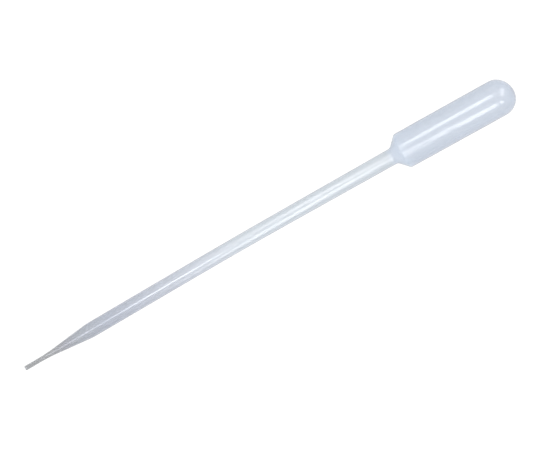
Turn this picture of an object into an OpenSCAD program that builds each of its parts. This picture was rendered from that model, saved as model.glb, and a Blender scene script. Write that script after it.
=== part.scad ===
// Plastic dropper pipette.
// One hollow blow-moulded piece: a narrow tip, a taper, a long stem, a sloping shoulder and a closed bulb.
// The only opening is the tip's mouth. Lengths are in millimetres.
//
// Along the pipette, h runs from the tip's mouth (0) to the far end of the bulb (overall_l).
// The part lies on its side, as it would come to rest: it touches the surface z = 0 at the
// end of its taper and at the edge of its bulb, so its axis climbs a little towards the bulb.
// +X runs along it towards the bulb. The origin is the middle of its box, on that surface.

/* [Overall] */
// Length from the tip's mouth to the far end of the bulb
overall_l = 150; // [140:1:180]

/* [Tip] */
// Outside diameter of the narrow tip
tip_d = 1.2; // [1:0.1:1.8]
// Bore of the narrow tip
tip_bore_d = 0.6; // [0.4:0.1:0.8]
// Distance from the mouth to the corner where the tip would meet the taper if nothing softened it
tip_l = 6.8; // [5:0.1:9]
// How far either side of that corner the soft curve reaches
tip_blend = 2.4; // [1:0.1:4]
// Rounding of the mouth's outer edge
mouth_edge = 0.1; // [0.05:0.01:0.15]

/* [Stem] */
// Distance from the mouth to the end of the taper
taper_end = 20.4; // [16:0.1:28]
// Outside diameter of the stem above the taper
stem_d = 4.0; // [3:0.1:5]
// Distance from the mouth to where the stem starts to widen
flare_start = 68; // [35:1:100]
// Outside diameter of the stem where it meets the shoulder
stem_top_d = 4.35; // [4:0.05:6]
// Wall of the stem
stem_wall = 0.45; // [0.3:0.05:0.6]

/* [Bulb] */
// Outside diameter of the bulb
bulb_d = 9.8; // [8:0.1:14]
// Length of the bulb from the edge of its shoulder to its far end
bulb_l = 33; // [20:0.1:42]
// Slope of the shoulder, in degrees from the pipette's axis
shoulder_slope = 45; // [30:0.1:60]
// Wall of the bulb
bulb_wall = 0.4; // [0.3:0.05:0.6]
// How far either side of the shoulder's edge its rounding reaches
edge_blend = 0.4; // [0.2:0.05:0.6]
// How far either side of the shoulder's root its rounding reaches
root_blend = 0.2; // [0.1:0.05:0.3]

/* [Hidden] */
plastic = [0.82, 0.87, 0.94];

tip_r = tip_d / 2;
bore_r = tip_bore_d / 2;
stem_r = stem_d / 2;
stem_top_r = stem_top_d / 2;
bulb_r = bulb_d / 2;
bulb_start = overall_l - bulb_l;
// The bulb ends in a half sphere, and its wall has one thickness to the very end.
dome_start = overall_l - bulb_r;
shoulder_start = bulb_start - (bulb_r - stem_top_r) / tan(shoulder_slope);
taper_blend = 0.3;

// A wall that turns through an angle keeps its thickness when its inner corner moves this far along the axis.
function corner_shift(wall, angle) = wall * tan(angle / 2);

// Corners of the outer form and of the hollow, each as [radius, h, reach of its rounding either side].
outer_corners = [
    [0, 0, 0],
    [tip_r, 0, mouth_edge],
    [tip_r, tip_l, tip_blend],
    [stem_r, taper_end, taper_blend],
    [stem_r, flare_start, 0],
    [stem_top_r, shoulder_start, root_blend],
    [bulb_r, bulb_start, edge_blend],
    [bulb_r, dome_start, 0]
];
hollow_corners = [
    [0, -1, 0],
    [bore_r, -1, 0],
    [bore_r, tip_l, tip_blend],
    [stem_r - stem_wall, taper_end, taper_blend],
    [stem_r - stem_wall, flare_start, 0],
    [stem_top_r - stem_wall, shoulder_start + corner_shift(stem_wall, shoulder_slope), root_blend],
    [bulb_r - bulb_wall, bulb_start + corner_shift(bulb_wall, shoulder_slope), edge_blend],
    [bulb_r - bulb_wall, dome_start, 0]
];

function at(p) = [p[0], p[1]];
function way(a, b) = (at(b) - at(a)) / norm(at(b) - at(a));
// Positive where the form turns in towards the axis, negative where it turns out.
function turn(u, v) = atan2(u[0] * v[1] - u[1] * v[0], u * v);

// One rounded corner of a form: [start of the arc, its centre, its radius, turn, direction it starts in].
// A sharp corner has a radius of 0.
function rounding(a, b, c) =
    let (u = way(a, b), v = way(b, c), t = turn(u, v), reach = b[2])
    reach == 0
        ? [at(b), at(b), 0, 0, u]
        : let (r = reach / tan(abs(t) / 2), start = at(b) - reach * u)
          [start, start + sign(t) * r * [-u[1], u[0]], r, t, u];

function corner(p, i) = rounding(p[i - 1], p[i], p[i + 1]);

// The points along a rounded corner, one every few degrees.
function arc_points(k, step = 8) =
    k[2] == 0
        ? [k[0]]
        : let (n = max(4, ceil(abs(k[3]) / step)), from = k[0] - k[1])
          [for (i = [0 : n])
              let (w = k[3] * i / n)
              k[1] + [from[0] * cos(w) - from[1] * sin(w), from[0] * sin(w) + from[1] * cos(w)]];

// Half of a turned form: its rounded corners joined by straight lines, up to a true quarter circle at its end.
module half_form(p, end_r) {
    last = len(p) - 1;
    polygon([
        at(p[0]),
        for (i = [1 : last - 1]) each arc_points(corner(p, i)),
        at(p[last]),
        [0, p[last][1]]
    ]);
    translate([0, p[last][1]]) intersection() {
        circle(r = end_r, $fn = 192);
        square(end_r + 1);
    }
}

// Slope at which it lies: the line that touches the rounding at the end of the taper and the one
// at the edge of the bulb.
taper_arc = corner(outer_corners, 3);
edge_arc = corner(outer_corners, 6);
gap = edge_arc[1] - taper_arc[1];
lie = acos((taper_arc[2] - edge_arc[2]) / norm(gap)) - atan2(gap[1], gap[0]);
// Height of the axis above the surface at the mouth
mouth_z = taper_arc[1][0] * cos(lie) - taper_arc[1][1] * sin(lie) + taper_arc[2];
// The lowest and highest x of the lying form, measured from the middle of the mouth
x_low = mouth_edge * cos(lie) - (tip_r - mouth_edge) * sin(lie) - mouth_edge;
x_high = (overall_l - bulb_r) * cos(lie) + bulb_r;

module pipette() {
    color(plastic)
        translate([-(x_low + x_high) / 2, 0, mouth_z])
            rotate([0, 90 - lie, 0])
                rotate_extrude($fn = 128)
                    difference() {
                        half_form(outer_corners, bulb_r);
                        half_form(hollow_corners, bulb_r - bulb_wall);
                    }
}

pipette();
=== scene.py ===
import math

import bpy
import numpy as np
from mathutils import Matrix, Vector, noise


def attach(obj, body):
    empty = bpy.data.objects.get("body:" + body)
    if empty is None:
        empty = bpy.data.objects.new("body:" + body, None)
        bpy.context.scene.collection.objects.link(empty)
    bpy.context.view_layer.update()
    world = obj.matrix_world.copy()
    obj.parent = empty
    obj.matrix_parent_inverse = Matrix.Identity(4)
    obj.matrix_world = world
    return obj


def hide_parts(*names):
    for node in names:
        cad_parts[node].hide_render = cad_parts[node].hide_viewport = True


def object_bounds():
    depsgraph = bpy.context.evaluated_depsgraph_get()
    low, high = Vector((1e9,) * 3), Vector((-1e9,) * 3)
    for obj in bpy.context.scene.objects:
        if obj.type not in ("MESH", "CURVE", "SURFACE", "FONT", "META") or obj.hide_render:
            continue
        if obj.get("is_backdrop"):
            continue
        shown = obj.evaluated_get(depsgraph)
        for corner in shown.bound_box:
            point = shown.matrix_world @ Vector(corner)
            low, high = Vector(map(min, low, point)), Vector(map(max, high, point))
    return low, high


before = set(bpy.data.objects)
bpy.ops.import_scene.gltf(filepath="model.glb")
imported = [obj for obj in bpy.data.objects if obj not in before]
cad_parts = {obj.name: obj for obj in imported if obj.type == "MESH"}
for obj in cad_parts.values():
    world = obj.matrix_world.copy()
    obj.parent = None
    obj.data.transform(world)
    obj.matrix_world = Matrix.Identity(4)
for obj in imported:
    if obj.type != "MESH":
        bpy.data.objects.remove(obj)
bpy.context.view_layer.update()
MM = 0.001

# ---------------------------------------------------------------- sizes, in millimetres, as the CAD has them
LENGTH = 150.0
LIE = math.radians(1.71647)  # the axis climbs this much from the tip to the bulb
MOUTH_Z = 1.38169
X_SHIFT = 74.95994
BULB_R, BULB_WALL = 4.9, 0.4
STEM_R, STEM_TOP_R, STEM_WALL = 2.0, 2.175, 0.45
TIP_R, TIP_BORE_R = 0.6, 0.3
TIP_L, TAPER_END, FLARE_START = 6.8, 20.4, 68.0
CONE_START, CONE_END = 114.275, 117.0
DOME_START = LENGTH - BULB_R
HALF_CONE = math.tan(math.atan2(BULB_R - STEM_TOP_R, CONE_END - CONE_START) / 2)

OUTER = [
    (0.0, TIP_R, 0.1),
    (TIP_L, TIP_R, 2.4),
    (TAPER_END, STEM_R, 0.9),
    (FLARE_START, STEM_R, 6.0),
    (CONE_START, STEM_TOP_R, 0.55),
    (CONE_END - 0.1, BULB_R - 0.038, 0.4),
    (CONE_END + 1.6, BULB_R - 0.03, 0.8),
    (DOME_START, BULB_R + 0.02, 0.0),
]
INNER = [
    (0.0, TIP_BORE_R, 0.08),
    (TIP_L, TIP_BORE_R, 2.4),
    (TAPER_END, STEM_R - STEM_WALL, 0.9),
    (FLARE_START, STEM_R - STEM_WALL, 6.0),
    (CONE_START + STEM_WALL * HALF_CONE, STEM_TOP_R - STEM_WALL, 0.35),
    (CONE_END + BULB_WALL * HALF_CONE, BULB_R - BULB_WALL, 0.6),
    (DOME_START, BULB_R - BULB_WALL, 0.0),
]


# ---------------------------------------------------------------- the half section as rings
def bend(a, b, c, reach, steps):
    """Points of an arc that rounds the corner b between a and c, starting reach before it."""
    a, b, c = np.array(a), np.array(b), np.array(c)
    d0, d1 = (b - a) / np.linalg.norm(b - a), (c - b) / np.linalg.norm(c - b)
    turn = math.atan2(d0[0] * d1[1] - d0[1] * d1[0], float(d0 @ d1))
    if reach <= 0 or abs(turn) < 1e-6:
        return [tuple(b)]
    radius = reach / math.tan(abs(turn) / 2)
    side = math.copysign(1, turn)
    centre = b - d0 * reach + radius * side * np.array([-d0[1], d0[0]])
    points = []
    for i in range(steps + 1):
        t = turn * i / steps
        v = -radius * side * np.array([-d0[1], d0[0]])
        points.append(
            tuple(
                centre
                + np.array(
                    [
                        v[0] * math.cos(t) - v[1] * math.sin(t),
                        v[0] * math.sin(t) + v[1] * math.cos(t),
                    ]
                )
            )
        )
    return points


def section(corners, end_r, spacing):
    """(h, r) from the mouth's flat face to the pole of the dome."""
    points = []
    face = (corners[0][0], (TIP_R + TIP_BORE_R) / 2)
    chain = [face] + [c[:2] for c in corners]
    for i in range(1, len(chain)):
        if i < len(chain) - 1:
            steps = 6 if i == 1 else 10
            points += bend(chain[i - 1], chain[i], chain[i + 1], corners[i - 1][2], steps)
        else:
            points.append(chain[i])
    filled = [points[0]]
    for p in points[1:]:
        q = filled[-1]
        run = math.dist(p, q)
        parts = max(1, math.ceil(run / spacing - 1e-9))
        for k in range(1, parts + 1):
            filled.append(
                (q[0] + (p[0] - q[0]) * k / parts, q[1] + (p[1] - q[1]) * k / parts)
            )
    # the end is a little blunter than a half sphere
    steps, wide, blunt = 26, corners[-1][1], 2 / 2.06
    for i in range(1, steps):
        a = math.pi / 2 * i / steps
        filled.append((DOME_START + end_r * math.sin(a) ** blunt, wide * math.cos(a) ** blunt))
    return filled, (DOME_START + end_r, 0.0)


def soft_step(x, width):
    """0 before x = 0 and x after it, with a soft knee."""
    u = x / width
    return width * (u if u > 30 else math.log1p(math.exp(u)))


def bow(h):
    """How far the axis stands off its chord to +Y at h: the stem is bent a little at its middle and where the bulb begins."""
    raw = lambda v: 0.01105 * v - 0.01753 * soft_step(v - 67, 6) - 0.0063 * soft_step(v - 116, 2)
    return raw(h) - raw(0) - (raw(LENGTH) - raw(0)) * h / LENGTH


def centre(h):
    """The middle of the section at h. The dome turns a little to +Y."""
    return np.array(
        [
            h * math.cos(LIE) - X_SHIFT,
            bow(h) + 0.18 * max(0.0, (h - DOME_START) / BULB_R) ** 2,
            MOUTH_Z + h * math.sin(LIE),
        ]
    )


def around(h):
    """Two unit directions across the axis at h: one level, towards +Y, and one upwards."""
    d = centre(h + 0.25) - centre(h - 0.25)
    d /= np.linalg.norm(d)
    level = np.cross([0, 0, 1], d)
    level /= np.linalg.norm(level)
    return level, np.cross(d, level)


# angles round the axis, closer together at the parting line on the two sides
half = [0.0, 0.7, 1.5, 2.6, 4.2, 6.4]
quarter = half + list(np.linspace(9.0, 90.0, 31))
first = quarter + [180 - a for a in reversed(quarter[:-1])]
TURN = np.radians(first + [180 + a for a in first[1:-1]])
COUNT = len(TURN)


def swell(h, r, turn, outer):
    """The small unevenness of a blown wall at one point, in millimetres outwards."""
    side = 1.0 if outer else 1.7
    p = Vector((h * 0.13, r * math.cos(turn) * 0.30, r * math.sin(turn) * 0.30))
    q = Vector((h * 0.42, r * math.cos(turn) * 0.62, r * math.sin(turn) * 0.62))
    offset = Vector((3.1, 7.7, 1.3)) if outer else Vector((11.2, 4.5, 9.8))
    bulb = min(1.0, max(0.0, (r - 2.4) / 2.2))
    grow = 0.006 + 0.020 * bulb
    d = side * grow * noise.noise(p + offset) + side * (0.0025 + 0.0100 * bulb) * noise.noise(q + offset)
    if outer:
        off = min(abs(math.sin(turn)), 1.0) * r
        d += 0.03 * min(1.0, r / 2) * math.exp(-((off / 0.13) ** 2))
    return d * min(1.0, r / 0.6)


def build():
    outer_rings, outer_pole = section(OUTER, BULB_R, 0.8)
    inner_rings, inner_pole = section(INNER, BULB_R - BULB_WALL, 0.8)
    verts, faces, uvs, inside = [], [], [], []

    def ring(h, r, outer):
        start = len(verts)
        level, up = around(h)
        c = centre(h)
        for t in TURN:
            d = r + swell(h, r, t, outer)
            verts.append(c + d * (math.cos(t) * level + math.sin(t) * up))
        return start

    # strips of the map: (side, row) by height, so that the length folds into four rows
    cuts = [0.0, 39.0, 78.0, 114.6, LENGTH + 1]
    rows = [(0.012, 0.155), (0.175, 0.335), (0.355, 0.520), (0.540, 0.988)]

    def wall_uv(h, j, outer, row):
        low, high = rows[row]
        u = 0.015 + 0.455 * (h - cuts[row]) / 39.0
        if not outer:
            u += 0.5
        return u, low + (high - low) * j / COUNT

    def join(a, b, ha, hb, outer):
        mid = (ha + hb) / 2
        row = max(i for i in range(4) if cuts[i] <= max(mid, 0.0))
        for j in range(COUNT):
            k = (j + 1) % COUNT
            quad = [a + j, b + j, b + k, a + k]
            uv = [
                wall_uv(ha, j, outer, row),
                wall_uv(hb, j, outer, row),
                wall_uv(hb, j + 1, outer, row),
                wall_uv(ha, j + 1, outer, row),
            ]
            if outer:
                quad.reverse()
                uv.reverse()
            faces.append(quad)
            uvs.append(uv)
            inside.append(not outer)

    def cap(a, ha, pole, outer):
        level, up = around(pole[0])
        verts.append(centre(pole[0]))
        top = len(verts) - 1
        for j in range(COUNT):
            k = (j + 1) % COUNT
            tri = [a + j, top, a + k]
            uv = [
                wall_uv(ha, j, outer, 3),
                wall_uv(pole[0], j + 0.5, outer, 3),
                wall_uv(ha, j + 1, outer, 3),
            ]
            if outer:
                tri.reverse()
                uv.reverse()
            faces.append(tri)
            uvs.append(uv)
            inside.append(not outer)

    starts = {}
    for outer, rings, pole in (
        (True, outer_rings, outer_pole),
        (False, inner_rings, inner_pole),
    ):
        last = None
        for h, r in rings:
            here = ring(h, r, outer)
            if last is None:
                starts[outer] = here
            else:
                join(last[0], here, last[1], h, outer)
            last = (here, h)
        cap(last[0], last[1], pole, outer)
    # the mouth's flat face
    a, b = starts[False], starts[True]
    for j in range(COUNT):
        k = (j + 1) % COUNT
        faces.append([a + k, b + k, b + j, a + j])
        spot = []
        for i, rad in ((j + 1, 0.4), (j + 1, 1.0), (j, 1.0), (j, 0.4)):
            t = 2 * math.pi * i / COUNT
            spot.append((0.492 + 0.006 * rad * math.cos(t), 0.006 + 0.005 * rad * math.sin(t)))
        uvs.append(spot)
        inside.append(False)
    mesh = bpy.data.meshes.new("pipette_visual")
    mesh.from_pydata([tuple(v * MM) for v in verts], [], faces)
    layer = mesh.uv_layers.new(name="OFBake", do_init=False)
    flat = np.array([c for uv in uvs for c in uv], np.float32).ravel()
    layer.uv.foreach_set("vector", flat)
    mesh.polygons.foreach_set("use_smooth", [True] * len(mesh.polygons))
    mesh.polygons.foreach_set("material_index", [int(x) for x in inside])
    mesh.update()
    mesh.validate()
    return bpy.data.objects.new("pipette_body", mesh)


# ---------------------------------------------------------------- material
# the body's colour along its length: the plastic's own pale bluish tint with painted shade in it, darker and greyer
# down the lower stem to the tip (at the tip partly its thicker wall) and darker again at the very end of the dome;
# lighter and bluer across the shoulder cone
TINT_AND_PAINTED_SHADE = [
    (0.000, (0.315, 0.325, 0.335, 1)),
    (0.056, (0.35, 0.36, 0.375, 1)),
    (0.085, (0.34, 0.35, 0.395, 1)),
    (0.112, (0.38, 0.41, 0.46, 1)),
    (0.180, (0.43, 0.467, 0.55, 1)),
    (0.288, (0.51, 0.55, 0.63, 1)),
    (0.360, (0.56, 0.605, 0.685, 1)),
    (0.460, (0.59, 0.65, 0.71, 1)),
    (0.750, (0.60, 0.66, 0.72, 1)),
    (0.762, (0.63, 0.715, 0.84, 1)),
    (0.778, (0.63, 0.715, 0.84, 1)),
    (0.792, (0.58, 0.65, 0.76, 1)),
    (0.985, (0.578, 0.643, 0.75, 1)),
    (0.9955, (0.578, 0.643, 0.75, 1)),
    (0.9985, (0.43, 0.48, 0.585, 1)),
]
FLOOR, SKY = 0.60, (0.86, 0.80)


def node(tree, kind, place, **values):
    n = tree.nodes.new(kind)
    n.location = place
    for key, value in values.items():
        setattr(n, key, value)
    return n


def ramp(n, stops):
    cr = n.color_ramp
    while len(cr.elements) > 1:
        cr.elements.remove(cr.elements[-1])
    cr.elements[0].position, cr.elements[0].color = stops[0][0], stops[0][1]
    for at, colour in stops[1:]:
        cr.elements.new(at).color = colour


def lerp_ramp(t, fac, place, stops):
    """A colour or grey that changes along the length."""
    n = node(t, "ShaderNodeValToRGB", place)
    full = [(at, c if isinstance(c, tuple) else (c, c, c, 1)) for at, c in stops]
    ramp(n, full)
    t.links.new(fac, n.inputs["Fac"])
    return n.outputs["Color"]


def plastic(name, clear_stops, coat, rough_stops, level=0.5):
    m = bpy.data.materials.new(name)
    m.use_nodes = True
    t = m.node_tree
    t.nodes.clear()
    out = node(t, "ShaderNodeOutputMaterial", (1100, 0))
    p = node(t, "ShaderNodeBsdfPrincipled", (600, 0))
    where = node(t, "ShaderNodeTexCoord", (-1200, 0))
    split = node(t, "ShaderNodeSeparateXYZ", (-1000, 200))
    t.links.new(where.outputs["Object"], split.inputs[0])
    along = node(t, "ShaderNodeMapRange", (-800, 200))
    along.inputs["From Min"].default_value = -0.075
    along.inputs["From Max"].default_value = 0.075
    t.links.new(split.outputs["X"], along.inputs["Value"])
    # the plastic's tint along the length, carrying the painted shade of the ramp at the top
    colour = lerp_ramp(t, along.outputs["Result"], (-600, 200), TINT_AND_PAINTED_SHADE)
    # cloudiness of the resin
    cloud = node(t, "ShaderNodeTexNoise", (-800, -100))
    cloud.inputs["Scale"].default_value = 420
    cloud.inputs["Detail"].default_value = 3
    cloud.inputs["Roughness"].default_value = 0.55
    t.links.new(where.outputs["Object"], cloud.inputs["Vector"])
    spread = node(t, "ShaderNodeMapRange", (-600, -100))
    spread.inputs["From Min"].default_value = 0.3
    spread.inputs["From Max"].default_value = 0.7
    spread.inputs["To Min"].default_value = 0.97
    spread.inputs["To Max"].default_value = 1.02
    t.links.new(cloud.outputs["Fac"], spread.inputs["Value"])
    tint = node(t, "ShaderNodeVectorMath", (-300, 100), operation="SCALE")
    t.links.new(colour, tint.inputs[0])
    t.links.new(spread.outputs["Result"], tint.inputs["Scale"])
    t.links.new(tint.outputs["Vector"], p.inputs["Base Color"])
    # gloss: patches where the mould was smoother
    patch = node(t, "ShaderNodeTexNoise", (-800, -350))
    patch.inputs["Scale"].default_value = 450
    patch.inputs["Detail"].default_value = 4
    t.links.new(where.outputs["Object"], patch.inputs["Vector"])
    gloss = node(t, "ShaderNodeMapRange", (-600, -350))
    gloss.inputs["From Min"].default_value = 0.3
    gloss.inputs["From Max"].default_value = 0.7
    gloss.inputs["To Min"].default_value = -0.055
    gloss.inputs["To Max"].default_value = 0.065
    t.links.new(patch.outputs["Fac"], gloss.inputs["Value"])
    rough = node(t, "ShaderNodeMath", (-300, -300), operation="ADD")
    t.links.new(lerp_ramp(t, along.outputs["Result"], (-600, -150), rough_stops), rough.inputs[0])
    t.links.new(gloss.outputs["Result"], rough.inputs[1])
    t.links.new(rough.outputs[0], p.inputs["Roughness"])
    # skin: a fine orange peel and long shallow draw marks
    peel = node(t, "ShaderNodeTexNoise", (-800, -600))
    peel.inputs["Scale"].default_value = 1500
    peel.inputs["Detail"].default_value = 3
    t.links.new(where.outputs["Object"], peel.inputs["Vector"])
    stretch = node(t, "ShaderNodeMapping", (-1000, -850))
    stretch.inputs["Scale"].default_value = (0.12, 1, 1)
    t.links.new(where.outputs["Object"], stretch.inputs["Vector"])
    draw = node(t, "ShaderNodeTexNoise", (-800, -850))
    draw.inputs["Scale"].default_value = 1100
    draw.inputs["Detail"].default_value = 2
    t.links.new(stretch.outputs["Vector"], draw.inputs["Vector"])
    b1 = node(t, "ShaderNodeBump", (-300, -600))
    b1.inputs["Strength"].default_value = 0.08
    b1.inputs["Distance"].default_value = 0.0001
    t.links.new(peel.outputs["Fac"], b1.inputs["Height"])
    b2 = node(t, "ShaderNodeBump", (-50, -600))
    b2.inputs["Strength"].default_value = 0.17
    b2.inputs["Distance"].default_value = 0.0001
    t.links.new(draw.outputs["Fac"], b2.inputs["Height"])
    t.links.new(b1.outputs["Normal"], b2.inputs["Normal"])
    t.links.new(b2.outputs["Normal"], p.inputs["Normal"])
    p.inputs["IOR"].default_value = 1.51
    p.inputs["Specular IOR Level"].default_value = level
    p.inputs["Coat Weight"].default_value = coat
    p.inputs["Coat Roughness"].default_value = 0.08
    p.inputs["Coat IOR"].default_value = 1.5
    # the wall lets through what a thin milky sheet does: less, the more aslant it is crossed
    aslant = node(t, "ShaderNodeLayerWeight", (-300, 500))
    aslant.inputs["Blend"].default_value = 0.5
    cosine = node(t, "ShaderNodeMath", (-100, 500), operation="SUBTRACT")
    cosine.inputs[0].default_value = 1.02
    t.links.new(aslant.outputs["Facing"], cosine.inputs[1])
    path = node(t, "ShaderNodeMath", (100, 500), operation="DIVIDE")
    path.inputs[0].default_value = 1.0
    t.links.new(cosine.outputs[0], path.inputs[1])
    passed = node(t, "ShaderNodeMath", (300, 500), operation="POWER")
    t.links.new(lerp_ramp(t, along.outputs["Result"], (0, 700), clear_stops), passed.inputs[0])
    t.links.new(path.outputs[0], passed.inputs[1])
    clear = node(t, "ShaderNodeBsdfTransparent", (600, 300))
    mix = node(t, "ShaderNodeMixShader", (850, 200))
    t.links.new(passed.outputs[0], mix.inputs[0])
    t.links.new(p.outputs["BSDF"], mix.inputs[1])
    t.links.new(clear.outputs["BSDF"], mix.inputs[2])
    t.links.new(mix.outputs[0], out.inputs["Surface"])
    return m


body = build()
bpy.context.scene.collection.objects.link(body)
body.data.materials.append(plastic("ldpe_skin", [(0.0, 0.3), (0.4, 0.5), (0.74, 0.5), (0.8, 0.45)], 1.0, [(0.0, 0.13), (0.45, 0.12), (0.74, 0.13), (0.79, 0.13), (0.95, 0.14), (0.975, 0.11)], 1.0))
body.data.materials.append(plastic("ldpe_inside", [(0.0, 0.8), (1.0, 0.9)], 0.0, [(0.0, 0.45), (1.0, 0.45)], 0.15))
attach(body, "root")
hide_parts("pipette")

# ---------------------------------------------------------------- floor, light, camera
floor_mesh = bpy.data.meshes.new("floor")
R = 9.0
ring_points = [
    (R * math.cos(2 * math.pi * i / 96), R * math.sin(2 * math.pi * i / 96), 0.0)
    for i in range(96)
]
floor_mesh.from_pydata(ring_points, [], [list(range(96))])
floor = bpy.data.objects.new("floor", floor_mesh)
bpy.context.scene.collection.objects.link(floor)
fm = bpy.data.materials.new("paper")
fm.use_nodes = True
ft = fm.node_tree
ft.nodes.clear()
f_out = node(ft, "ShaderNodeOutputMaterial", (600, 0))
f_path = node(ft, "ShaderNodeLightPath", (-200, 300))
f_lit = node(ft, "ShaderNodeBsdfDiffuse", (-200, 0))
f_lit.inputs["Color"].default_value = (FLOOR, FLOOR, FLOOR, 1)
f_seen = node(ft, "ShaderNodeBsdfDiffuse", (-200, -150))
f_seen.inputs["Color"].default_value = (0.15, 0.15, 0.15, 1)
f_glow = node(ft, "ShaderNodeEmission", (-200, -300))
f_glow.inputs["Strength"].default_value = 0.92
f_add = node(ft, "ShaderNodeAddShader", (100, -200))
f_mix = node(ft, "ShaderNodeMixShader", (350, 0))
ft.links.new(f_seen.outputs[0], f_add.inputs[0])
ft.links.new(f_glow.outputs[0], f_add.inputs[1])
ft.links.new(f_path.outputs["Is Camera Ray"], f_mix.inputs[0])
ft.links.new(f_lit.outputs[0], f_mix.inputs[1])
ft.links.new(f_add.outputs[0], f_mix.inputs[2])
ft.links.new(f_mix.outputs[0], f_out.inputs["Surface"])
floor.data.materials.append(fm)
floor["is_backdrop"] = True

world = bpy.data.worlds.new("studio")
bpy.context.scene.world = world
world.use_nodes = True
w = world.node_tree
w.nodes.clear()
w_out = node(w, "ShaderNodeOutputWorld", (600, 0))
w_at = node(w, "ShaderNodeTexCoord", (-600, 0))
w_xyz = node(w, "ShaderNodeSeparateXYZ", (-400, 0))
w_rise = node(w, "ShaderNodeMapRange", (-200, 0), interpolation_type="SMOOTHSTEP")
w_rise.inputs["From Min"].default_value = 0.0
w_rise.inputs["From Max"].default_value = 0.8
w_rise.inputs["To Min"].default_value = SKY[0]
w_rise.inputs["To Max"].default_value = SKY[1]
w_side = node(w, "ShaderNodeMapRange", (-200, -250))
w_side.inputs["From Min"].default_value = -1.0
w_side.inputs["To Min"].default_value = 0.87
w_side.inputs["To Max"].default_value = 1.13
w_both = node(w, "ShaderNodeMath", (-50, -100), operation="MULTIPLY")
w_soft = node(w, "ShaderNodeBackground", (50, 0))
w_white = node(w, "ShaderNodeBackground", (50, -150))
w_white.inputs["Strength"].default_value = 1.05
for n in (w_soft, w_white):
    n.inputs["Color"].default_value = (1, 1, 1, 1)
w_path = node(w, "ShaderNodeLightPath", (50, 300))
w_mix = node(w, "ShaderNodeMixShader", (350, 0))
w.links.new(w_at.outputs["Generated"], w_xyz.inputs[0])
w.links.new(w_xyz.outputs["Z"], w_rise.inputs["Value"])
w.links.new(w_xyz.outputs["Y"], w_side.inputs["Value"])
w.links.new(w_rise.outputs["Result"], w_both.inputs[0])
w.links.new(w_side.outputs["Result"], w_both.inputs[1])
w.links.new(w_both.outputs[0], w_soft.inputs["Strength"])
w.links.new(w_path.outputs["Is Camera Ray"], w_mix.inputs[0])
w.links.new(w_soft.outputs[0], w_mix.inputs[1])
w.links.new(w_white.outputs[0], w_mix.inputs[2])
w.links.new(w_mix.outputs[0], w_out.inputs["Surface"])


MID = Vector((LENGTH / 2 * math.cos(LIE) - X_SHIFT, 0, MOUTH_Z + LENGTH / 2 * math.sin(LIE)))
ALONG = Vector((math.cos(LIE), 0, math.sin(LIE)))
ABOVE = Vector((-math.sin(LIE), 0, math.cos(LIE)))
SIDE = Vector((0, 1, 0))


def over(angle, x, far=400.0):
    """The point that far from the axis, x along it from its middle, at an angle off straight up towards +Y. Millimetres."""
    a = math.radians(angle)
    return MID + ALONG * x + (SIDE * math.sin(a) + ABOVE * math.cos(a)) * far


def panel(name, start, end, width, radiance, tint=(1, 1, 1), aim=None, beam=None):
    """A soft lamp along start to end, turned towards aim. beam is how far off its facing it still shines, in degrees. Millimetres."""
    long = end - start
    lamp = bpy.data.lights.new(name, "AREA")
    lamp.shape = "RECTANGLE"
    lamp.color = tint
    lamp.size, lamp.size_y = long.length * MM, width * MM
    lamp.energy = radiance * math.pi * long.length * width * MM * MM
    if beam:
        a = math.radians(beam)
        lamp.spread = 2 * a
        lamp.energy *= (math.tan(a) - a) / math.tan(a)
    o = bpy.data.objects.new(name, lamp)
    bpy.context.scene.collection.objects.link(o)
    middle = (start + end) / 2
    x = long.normalized()
    if aim is None:
        aim = MID + ALONG * (middle - MID).dot(ALONG)
    z = (middle - aim).normalized()
    x = (x - z * x.dot(z)).normalized()
    y = z.cross(x)
    o.matrix_world = Matrix(
        [
            [x[0], y[0], z[0], middle[0] * MM],
            [x[1], y[1], z[1], middle[1] * MM],
            [x[2], y[2], z[2], middle[2] * MM],
            [0, 0, 0, 1],
        ]
    )
    o.visible_camera = False
    return o


# two rows of soft panels overhead, one towards +Y and one towards -Y, whose light draws the long streaks
STREAKS = [
    # from and to along the axis, from and to in degrees off straight up, radiance
    (-95.3, -78.3, 21, 62, 1.1),
    (-78.3, -67, 16.4, 55, 2.0),
    (-67, -53.9, 14, 52.5, 2.8),
    (-53.9, -39, 13, 51, 3.2),
    (-39, -25.9, 9, 45, 2.6),
    (-25.9, -16, 4, 38, 2.1),
    (-11, -6, 26, 36, 5.6),
    (-6, 1, 22, 40.5, 3.4),
    (1, 16, 20.5, 40.5, 4.0),
    (16, 34, 20.5, 40.5, 3.7),
    (34, 55, 22, 38, 1.2),
    (-110, -102.8, -83, -47.6, 0.6),
    (-102.8, -95.3, -83, -47.6, 1.3),
    (-95.3, -87.7, -75, -33, 1.7),
    (-87.7, -78.3, -66, -25, 3.3),
    (-78.3, -67, -60, -19, 4.6),
    (-67, -53.9, -56.6, -16, 3.9),
    (-53.9, -39, -48.3, -8, 3.8),
    (-39, -25.9, -41, -3.5, 4.4),
    (-25.9, -16, -36, -2, 3.8),
    (-11, 3, -24, -10, 4.3),
    (3, 7, -38.5, -16.5, 4.4),
    (7, 19, -43.5, -21, 5.5),
    (19, 29, -44, -22, 5.3),
    (29, 65, -45, -28, 2.2),
]
for i, (x0, x1, low, high, radiance) in enumerate(STREAKS):
    far = 407 / math.cos(math.radians(high - low) / 4)
    panel("lamp_row_%02d" % i, over(low, (x0 + x1) / 2, far), over(high, (x0 + x1) / 2, far), x1 - x0, radiance)
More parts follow.
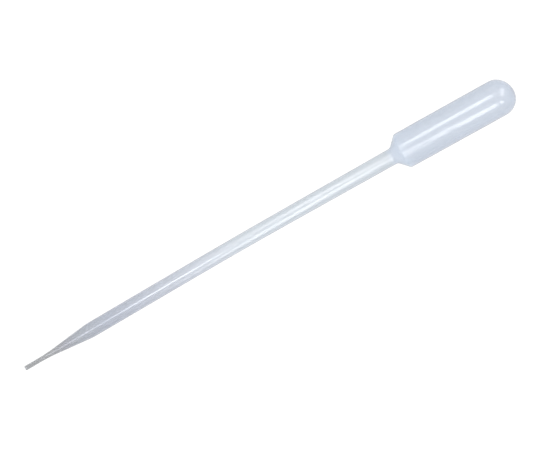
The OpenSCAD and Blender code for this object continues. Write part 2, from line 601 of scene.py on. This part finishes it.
# a panel beyond the bulb, the narrow-beam panels beyond the tip, and a window-like one that the dome shows
panel("lamp_end", over(-35.2, 138), over(-39.6, 298), 120, 4.0)
STEM_END, STEM_SPOT, TIP_SPOT = MID - ALONG * 49.7, MID - ALONG * 27, MID - ALONG * 65
panel("lamp_stem_1", over(0, -153.3), over(0, -127.4), 170, 4.1, (0.8, 0.85, 1.0), aim=STEM_END, beam=13)
panel("lamp_stem_2", over(0, -127.4), over(0, -88), 200, 9.4, (0.94, 0.97, 1.0), aim=STEM_SPOT, beam=13)
panel("lamp_tip", over(0, -255), over(0, -190), 135, 6.4, (0.85, 0.87, 1.0), aim=TIP_SPOT, beam=13)
DOME = MID + ALONG * 70
toward = ALONG * 0.775 + SIDE * 0.27 + ABOVE * 0.56
tall = (ALONG * 0.277 + SIDE * 0.666 - ABOVE * 0.72).normalized()
wide = tall.cross(toward).normalized()
panel("lamp_window", DOME + toward * 400 - tall * 187, DOME + toward * 400 + tall * 187, 155, 2.4, aim=DOME)
beside = DOME + toward * 400 + wide * 190
panel("lamp_beside", beside - tall * 260, beside + tall * 260, 190, 0.22, aim=DOME)

# the camera looks down at the pipette, 10 degrees off square towards the bulb, turned so that the axis climbs
# 29.78 degrees from left to right
VIEW_TURN = math.radians(29.78)
VIEW_TILT = math.radians(10.0)
FAR = 1000.0
back = ALONG * math.sin(VIEW_TILT) + ABOVE * math.cos(VIEW_TILT)
level = ALONG * math.cos(VIEW_TILT) - ABOVE * math.sin(VIEW_TILT)
right = level * math.cos(VIEW_TURN) - SIDE * math.sin(VIEW_TURN)
up = level * math.sin(VIEW_TURN) + SIDE * math.cos(VIEW_TURN)
spot = MID + right * 1.007 + up * 1.50 + back * FAR
cam_data = bpy.data.cameras.new("camera")
cam_data.lens = 253.526
cam_data.sensor_width = 36
cam_data.clip_start = 0.01
cam_data.clip_end = 50
cam = bpy.data.objects.new("camera", cam_data)
bpy.context.scene.collection.objects.link(cam)
cam.matrix_world = Matrix(
    [
        [right[0], up[0], back[0], spot[0] * MM],
        [right[1], up[1], back[1], spot[1] * MM],
        [right[2], up[2], back[2], spot[2] * MM],
        [0, 0, 0, 1],
    ]
)
bpy.context.scene.camera = cam
bpy.context.scene.view_settings.view_transform = "Standard"
bpy.context.scene.view_settings.look = "None"

low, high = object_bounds()
